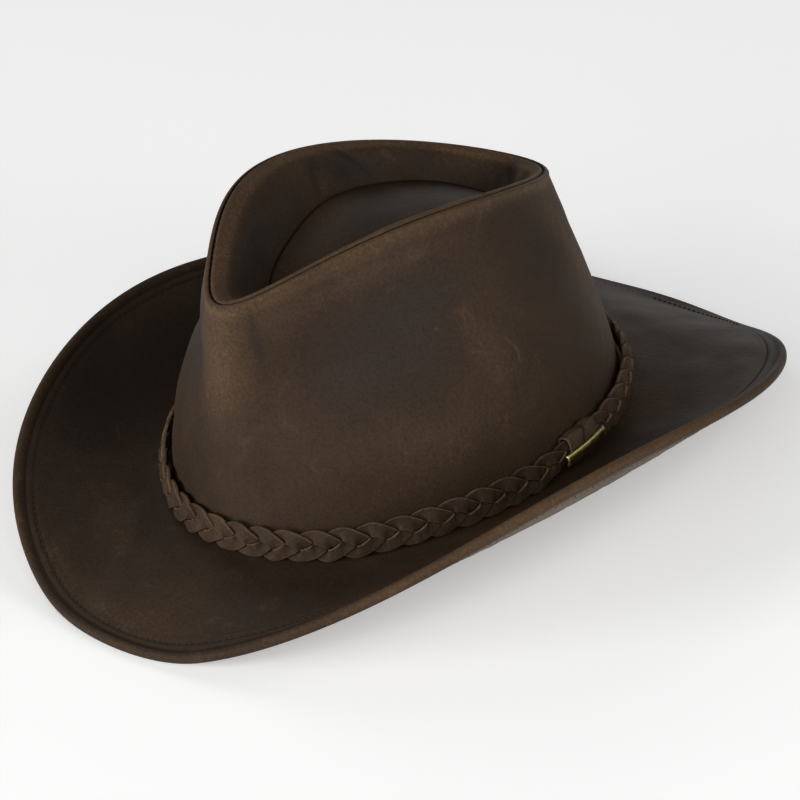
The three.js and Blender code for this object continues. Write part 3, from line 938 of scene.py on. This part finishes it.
def bandCentre(angle):
    # a little outside the crown's foot and above the brim
    b, s = bandShape, brimShape
    out = b["standOff"] + b["depth"] / 2
    brimTop = brimMiddle(angle, out / brimEnds(angle)[2])[..., 2] + s["splitGap"] / 2 + s["sheet"]
    halfHeight = b["height"] / 2 * math.cos(math.radians(b["lean"]))
    return headPoint(angle, out, brimTop + b["liftOffBrim"] + halfHeight)


bandAngles = np.linspace(0, fullTurn, bandShape["samples"] + 1)
bandRuns = runsAlong(bandCentre(bandAngles))
bandLength = bandRuns[-1]


def bandPoint(run, rise, out):
    # run is the distance along the band from the front, rise is up its face, out is off the crown
    angle = np.interp(np.mod(run, bandLength), bandRuns, bandAngles)
    tangent = bandCentre(angle + 2 * smallStep) - bandCentre(angle - 2 * smallStep)
    level = unit(np.stack([tangent[..., 1], -tangent[..., 0], 0 * angle], axis=-1))
    lean = math.radians(bandShape["lean"])
    outward = level * math.cos(lean) + upright * math.sin(lean)
    upward = upright * math.cos(lean) - level * math.sin(lean)
    return bandCentre(angle) + upward * np.asarray(rise)[..., None] + outward * np.asarray(out)[..., None]


def squeezed(run):
    # 1 inside the keeper, fading to 0 along the band
    k = keeperShape
    beyond = np.abs(run - k["start"] - k["length"] / 2) - k["length"] / 2
    return 1 - smoothStep(beyond, 0, k["fade"])


# braid: three flat thongs settled over and under each other

braidShape = {
    "turns": 18,
    "startTurn": 1 / 24,
    "sway": 4.0,
    "width": 5.3,
    "thickness": 1.6,
    "edgeThin": 0.1,
    "stepsPerTurn": 48,
    "settleSteps": 144,
    "settleRows": 13,
    "settleRounds": 6000,
    "startHeight": 0.9,
    "bendPull": 0.05,
    "stiffPull": 0.05,
    "widePull": 0.1,
    "sink": 0.9995,
    "push": 0.45,
    "faceRows": 9,
    "bevel": 0.035,
    "sideLevel": 0.82,
    "unevenRise": 0.22,
    "unevenOut": 0.14,
    "unevenWaves": 6,
    "faceWear": 0.13,
    "edgeWear": 0.55,
    "coveredShade": 0.8,
}


def thongSwing(b, phase):
    # a thong's middle sways with the cosine of its phase, and its half width grows with the sway's slope
    slope = -b["sway"] * fullTurn / (bandLength / b["turns"]) * np.sin(phase)
    return b["sway"] * np.cos(phase), b["width"] / 2 * np.hypot(1, slope)


def thongThickness(b, side):
    return b["thickness"] * (1 - b["edgeThin"] * np.abs(side) ** 4)


def readAcross(field, row, sideways):
    # a field's value at whole rows and at any place across from -1 to 1, straight between its columns
    columns = field.shape[1]
    position = (np.clip(sideways, -1, 1) + 1) / 2 * (columns - 1)
    low = np.minimum(position.astype(int), columns - 2)
    share = position - low
    return field[row, low] * (1 - share) + field[row, low + 1] * share


def settleBraid(b):
    # heights of one thong over a turn: a stiff strip pushed apart from the strips a third of a turn
    # before and after it wherever they cross, and the same half a turn on, mirrored across
    count = b["settleSteps"]
    third = count // 3
    steps = np.arange(count)[:, None]
    phase = steps * fullTurn / count
    side = np.linspace(-1, 1, b["settleRows"])[None, :]
    centre, half = thongSwing(b, phase)
    place = centre + half * side
    thick = thongThickness(b, side) + 0 * place

    def crossing(turn):
        return (place - np.roll(centre, -turn * third, 0)) / np.roll(half, -turn * third, 0)

    def readOther(field, sideways, turn):
        return readAcross(np.roll(field, -turn * third, 0), steps, sideways)

    over, under = crossing(1), crossing(2)
    overMet, underMet = np.abs(over) <= 1, np.abs(under) <= 1
    overApart = (thick + readOther(thick, over, 1)) / 2
    underApart = (thick + readOther(thick, under, 2)) / 2
    height = b["startHeight"] * np.sin(2 * phase) + 0 * place
    for _ in range(b["settleRounds"]):
        bend = np.roll(height, 1, 0) + np.roll(height, -1, 0) - 2 * height
        stiff = np.roll(bend, 1, 0) + np.roll(bend, -1, 0) - 2 * bend
        wide = np.pad(height, ((0, 0), (1, 1)), mode="reflect", reflect_type="odd")
        wide = wide[:, :-2] + wide[:, 2:] - 2 * height
        height = height + b["bendPull"] * bend - b["stiffPull"] * stiff + b["widePull"] * wide
        height *= b["sink"]
        overlap = np.minimum(readOther(height, over, 1) - height - overApart, 0)
        underlap = np.minimum(height - readOther(height, under, 2) - underApart, 0)
        height = height + b["push"] * (np.where(overMet, overlap, 0) - np.where(underMet, underlap, 0))
        height = (height + np.roll(height, count // 2, 0)[:, ::-1]) / 2
    return height


def unevenBraid(run, seed, count):
    # small differences from turn to turn that close on themselves round the band
    generator = np.random.default_rng(seed)
    waves = generator.integers(9, 60, count)
    starts = generator.uniform(0, fullTurn, count)
    total = sum(np.sin(fullTurn * wave * run / bandLength + start) for wave, start in zip(waves, starts))
    return total / 2.4


def braidStrand(name, node, order, heights, b):
    # a flat section with bevelled edges, carried along the thong's swaying, rising and falling path
    steps = b["turns"] * b["stepsPerTurn"]
    run = (np.arange(steps) * bandLength / steps)[:, None]
    turn = run * b["turns"] / bandLength + b["startTurn"] + order / 3
    phase = fullTurn * turn
    face = np.linspace(-1 + 3 * b["bevel"], 1 - 3 * b["bevel"], b["faceRows"])
    face = np.concatenate([[-1 + b["bevel"]], face, [1 - b["bevel"]]])
    side = np.concatenate([face, [1, 1], face[::-1], [-1, -1]])[None, :]
    edge = b["sideLevel"]
    level = np.concatenate([0 * face + 1, [edge, -edge], 0 * face - 1, [-edge, edge]])[None, :]
    count = len(heights)
    place = np.mod(turn, 1) * count
    first = place.astype(int)
    part = place - first
    near = readAcross(heights, first % count, side)
    far = readAcross(heights, (first + 1) % count, side)
    height = near * (1 - part) + far * part
    held = squeezed(run)
    middle, half = thongSwing(b, phase)
    sideways = middle + half * side
    rise = sideways + b["unevenRise"] * (1 - held) * unevenBraid(run, 61 + order, b["unevenWaves"])
    out = height + level * thongThickness(b, side) / 2
    out = out + b["unevenOut"] * (1 - held) * unevenBraid(run, 71 + order, b["unevenWaves"])
    rise = rise * (1 - keeperShape["squeezeRise"] * held) + keeperShape["squeezeLift"] * held
    points = bandPoint(run + 0 * side, rise, out * (1 - keeperShape["squeezeOut"] * held))
    # light cut edges; painted shade: cooler where the thong dips low between the others, and darker along
    # the edge of the thong a third of a turn ahead, which lies over this one
    cutEdge = smoothStep(np.abs(side), 0.9, 0.98) * smoothStep(height, -1.2, 0.6)
    aheadMiddle, aheadHalf = thongSwing(b, phase + fullTurn / 3)
    covered = np.abs(sideways - aheadMiddle) / aheadHalf
    fields = {
        "wear": b["faceWear"] + b["edgeWear"] * cutEdge,
        "cool": 0.12 * smoothStep(height, 1.0, -1.0),
        "shade": b["coveredShade"] * smoothStep(covered, 1.2, 1.02) * smoothStep(level, 0.2, 0.9),
    }
    piece = gridObject(name, points, thongLeather, fields)
    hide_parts(node)


braidHeights = settleBraid(braidShape)
thongs = (("strandA", "strand_a"), ("strandB", "strand_b"), ("strandC", "strand_c"))
for order, (name, node) in enumerate(thongs):
    braidStrand(name, node, order, braidHeights, braidShape)
print("braid made")


# keeper: a leather wrap of two turns that closes the braid

def keeperHalf(grow):
    k = keeperShape
    rise = bandShape["height"] / 2 * (1 - k["squeezeRise"]) + k["clearance"] + grow
    out = bandShape["depth"] / 2 * (1 - k["squeezeOut"]) + k["clearance"] + grow
    return rise, out


def keeper(k):
    # a rounded rectangle (superellipse) along the band, with a slanted furrow between its two turns
    turn = (np.arange(k["roundSteps"]) * fullTurn / k["roundSteps"])[None, :]
    share = np.linspace(0, 1, k["lengthSteps"])[:, None]
    power = 2 / k["squareness"]
    first, last = k["start"], k["start"] + k["length"]
    run = first + k["length"] * share + 0 * turn

    def wrap(grow):
        rise, out = keeperHalf(grow)
        up = np.sign(np.sin(turn)) * np.abs(np.sin(turn)) ** power * rise
        away = np.sign(np.cos(turn)) * np.abs(np.cos(turn)) ** power * out
        return bandPoint(run, up + k["squeezeLift"], away)

    seam = first + k["length"] * k["seamPlace"] + k["seamSlant"] * np.sin(turn)
    furrow = np.exp(-(((run - seam) / k["seamWidth"]) ** 2))
    toEnd = np.minimum(run - first, last - run)
    rounded = 1 - np.sqrt(1 - (1 - np.clip(toEnd / k["endRound"], 0, 1)) ** 2)
    along = np.where(run < seam, (run - first) / (seam - first), (run - seam) / (last - seam))
    bulge = np.sin(math.pi * np.clip(along, 0, 1))
    grow = k["wall"] + k["bulge"] * bulge - k["seamDepth"] * furrow - k["endDip"] * rounded
    points = np.concatenate([wrap(grow), wrap(k["innerGap"])[::-1]], axis=0)
    outside = {"wear": 0.28 + 0.6 * rounded + 0.1 * bulge, "cool": 0.2 + 0 * run, "shade": 0.9 * furrow}
    fields = {label: np.concatenate([field, 0 * run]) for label, field in outside.items()}
    piece = gridObject("keeperWrap", points, thongLeather, fields)
    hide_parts("keeper")


keeper(keeperShape)


barShape = {
    "start": 155.8,
    "length": 25.4,
    "height": 5.0,
    "bulge": 1.4,
    "thickness": 0.8,
    "gap": 0.3,
    "centreAboveBand": 7.6,
    "archEnd": 0.97,
    "endRound": 0.3,
    "endShrink": 0.12,
    "lengthSteps": 60,
    "roundSteps": 24,
}


def brassBar(b):
    # an arched channel: a half circle flattened to the bulge, its edges turned in, along the keeper
    arc = np.linspace(-1, 1, b["roundSteps"])
    arch = b["bulge"] * np.sqrt(1 - b["archEnd"] * arc**2)
    rise = np.concatenate([arc * b["height"] / 2, arc[::-1] * (b["height"] / 2 - b["thickness"] * 0.8)])
    out = np.concatenate([arch + b["thickness"], arch[::-1]])
    share = np.linspace(0, 1, b["lengthSteps"])[:, None]
    ends = np.minimum(share, 1 - share) * b["length"]
    shrink = b["endShrink"] * (1 - np.sqrt(1 - (1 - np.clip(ends / b["endRound"], 0, 1)) ** 2))
    rise = rise[None, :] * (1 - shrink * 0.3)
    out = out[None, :] - shrink
    run = b["start"] + b["length"] * share + 0 * rise
    low = b["centreAboveBand"] - bandShape["height"] / 2
    back = keeperHalf(keeperShape["wall"])[1] + b["gap"]
    points = bandPoint(run, low + rise, back + out)
    rubbedEnds = smoothStep(ends, 1.0, 0.2)
    # painted highlight: a lighter strip along the bar's upper edge; the ends are rubbed
    paintedTopHighlight = smoothStep(rise / b["height"] * 2, 0.55, 0.8) * 0.25
    size = rise.shape[1]
    near = np.arange(size // 2 - 1)
    cap = np.stack([near, near + 1, size - 2 - near, size - 1 - near], axis=-1)
    farCap = (cap + (b["lengthSteps"] - 1) * size)[:, ::-1]
    quads = np.concatenate([gridQuads(*points.shape[:2], closeRows=False), cap, farCap])
    wear = {"wear": (rubbedEnds + paintedTopHighlight).ravel()}
    piece = meshObject("brassBar", points.reshape(-1, 3), quads, brass, wear)
    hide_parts("brass_bar")


brassBar(barShape)
print("keeper and bar made")


# stitches: one small bent capsule at each place, all of a seam in one mesh

stitchShape = {
    "length": 2.0,
    "thick": 0.55,
    "bow": 0.35,
    "around": 6,
    "along": 7,
    "inFromEdge": 8.5,
}

# from and to are degrees from the front, up is from the brim's middle layer. The hem's seam starts and
# ends at the back, where a stretch is sewn over again
brimSeams = (
    {"name": "brimStitches", "pitch": 3.1, "up": 1.5, "from": 181, "to": 519},
    {"name": "seamEndStitches", "pitch": 3.0, "up": 1.65, "from": 159, "to": 181,
     "length": 2.7, "thick": 0.95},
    {"name": "undersideStitches", "pitch": 3.1, "up": -1.62, "length": 1.7, "thick": 0.4},
)
crownSeam = {"name": "crownStitches", "pitch": 3.2, "length": 2.1, "thick": 0.5, "out": 0.2, "up": -1.35}


def evenPlaces(curve, pitch, start, end):
    # angles at equal distances along a curve
    angle = np.linspace(start, end, 4001)
    run = runsAlong(curve(angle))
    count = int(round(run[-1] / pitch))
    return np.interp((np.arange(count) + 0.5) * run[-1] / count, run, angle)


def stitches(seam, curve, upOf):
    # each stitch is a tube along the curve, thinner and lower towards its ends
    seam = {**stitchShape, "from": 0, "to": 360, **seam}
    angle = evenPlaces(curve, seam["pitch"], math.radians(seam["from"]), math.radians(seam["to"]))
    along = unit(curve(angle + smallStep) - curve(angle - smallStep))
    up = upOf(angle)
    up = unit(up - along * (up * along).sum(-1, keepdims=True))
    across = np.cross(up, along)
    rings, sides = seam["along"], seam["around"]
    t = np.linspace(-1, 1, rings)[None, :, None]
    turn = (np.arange(sides) * fullTurn / sides)[None, None, :]
    radius = seam["thick"] / 2 * np.sqrt(np.clip(1 - t**2, 0.02, 1)) ** 0.8
    points = 0
    for direction, amount in (
        (along, t * seam["length"] / 2),
        (up, seam["thick"] * seam["bow"] * (1 - 2.2 * t**2)),
        (across, radius * np.cos(turn)),
        (up, radius * np.sin(turn)),
    ):
        points = points + direction[:, None, None] * amount[..., None]
    points = points + curve(angle)[:, None, None]
    caps = np.array([[0, 1, 2, 3], [0, 3, 4, 5]])  # for six sides
    farCaps = (caps + (rings - 1) * sides)[:, ::-1]
    one = np.concatenate([gridQuads(rings, sides, closeRows=False), caps, farCaps])
    quads = (one[None] + (np.arange(len(angle)) * rings * sides)[:, None, None]).reshape(-1, 4)
    meshObject(seam["name"], points.reshape(-1, 3), quads[:, ::-1], thread)


def brimSeam(seam):
    def across(angle):
        return acrossFromEdge(angle, stitchShape["inFromEdge"])

    def curve(angle):
        return brimLayer(angle, across(angle), seam["up"])

    def facing(angle):
        return -normalsOf(brimMiddle, angle, across(angle)) * math.copysign(1, seam["up"])

    stitches(seam, curve, facing)


def crownSeamLine(angle):
    return beside(crestPoint, angle, crownSeam["out"], crownSeam["up"])


for seam in brimSeams:
    brimSeam(seam)
stitches(crownSeam, crownSeamLine, lambda angle: upright)
print("stitches made")


# floor and light

floorLook = {
    "halfSize": 6.0,
    "colour": (0.9, 0.9, 0.895, 1.0),
    "roughness": 0.9,
    "glow": 0.3,
}


def makeFloor(look):
    size = look["halfSize"]
    mesh = bpy.data.meshes.new("floor")
    corners = [(-size, -size, 0), (size, -size, 0), (size, size, 0), (-size, size, 0)]
    mesh.from_pydata(corners, [], [(0, 1, 2, 3)])
    material, _, shader = newMaterial("paleFloor")
    shader.inputs["Base Color"].default_value = look["colour"]
    shader.inputs["Roughness"].default_value = look["roughness"]
    shader.inputs["Emission Color"].default_value = (1.0, 1.0, 1.0, 1.0)
    shader.inputs["Emission Strength"].default_value = look["glow"]
    mesh.materials.append(material)
    floor = bpy.data.objects.new("floor", mesh)
    bpy.context.scene.collection.objects.link(floor)


studioLights = (
    # direction round the hat from its front, height angle, watts; all are large squares
    {"name": "rightLight", "azimuth": 90, "elevation": 12, "watts": 30.0},
    {"name": "rightHighLight", "azimuth": 50, "elevation": 35, "watts": 16.0},
    {"name": "frontLeftLight", "azimuth": -30, "elevation": 12, "watts": 51.0},
    {"name": "frontLight", "azimuth": 10, "elevation": 25, "watts": 18.0},
    {"name": "backRightLight", "azimuth": 130, "elevation": 35, "watts": 11.0},
    {"name": "leftLight", "azimuth": -110, "elevation": 35, "watts": 9.0},
    {"name": "backLeftLight", "azimuth": -150, "elevation": 12, "watts": 8.0},
)
lightDistance = 2.6
lightSize = 1.2
lightAim = (0, 0, 0.06)
skyGlow = 0.04


def makeLights():
    aim = Vector(lightAim)
    for row in studioLights:
        data = bpy.data.lights.new(row["name"], "AREA")
        data.energy = row["watts"]
        data.size = lightSize
        lamp = bpy.data.objects.new(row["name"], data)
        around, high = math.radians(row["azimuth"]), math.radians(row["elevation"])
        level = math.cos(high)
        towards = Vector((math.sin(around) * level, -math.cos(around) * level, math.sin(high)))
        lamp.location = towards * lightDistance
        lamp.rotation_euler = (aim - lamp.location).to_track_quat("-Z", "Y").to_euler()
        bpy.context.scene.collection.objects.link(lamp)
    world = bpy.data.worlds.new("paleWorld")
    world.use_nodes = True
    sky = world.node_tree.nodes["Background"].inputs
    sky["Color"].default_value = (1.0, 1.0, 1.0, 1.0)
    sky["Strength"].default_value = skyGlow
    bpy.context.scene.world = world
    bpy.context.scene.view_settings.view_transform = "Standard"


makeFloor(floorLook)
makeLights()
print("floor and lights made")
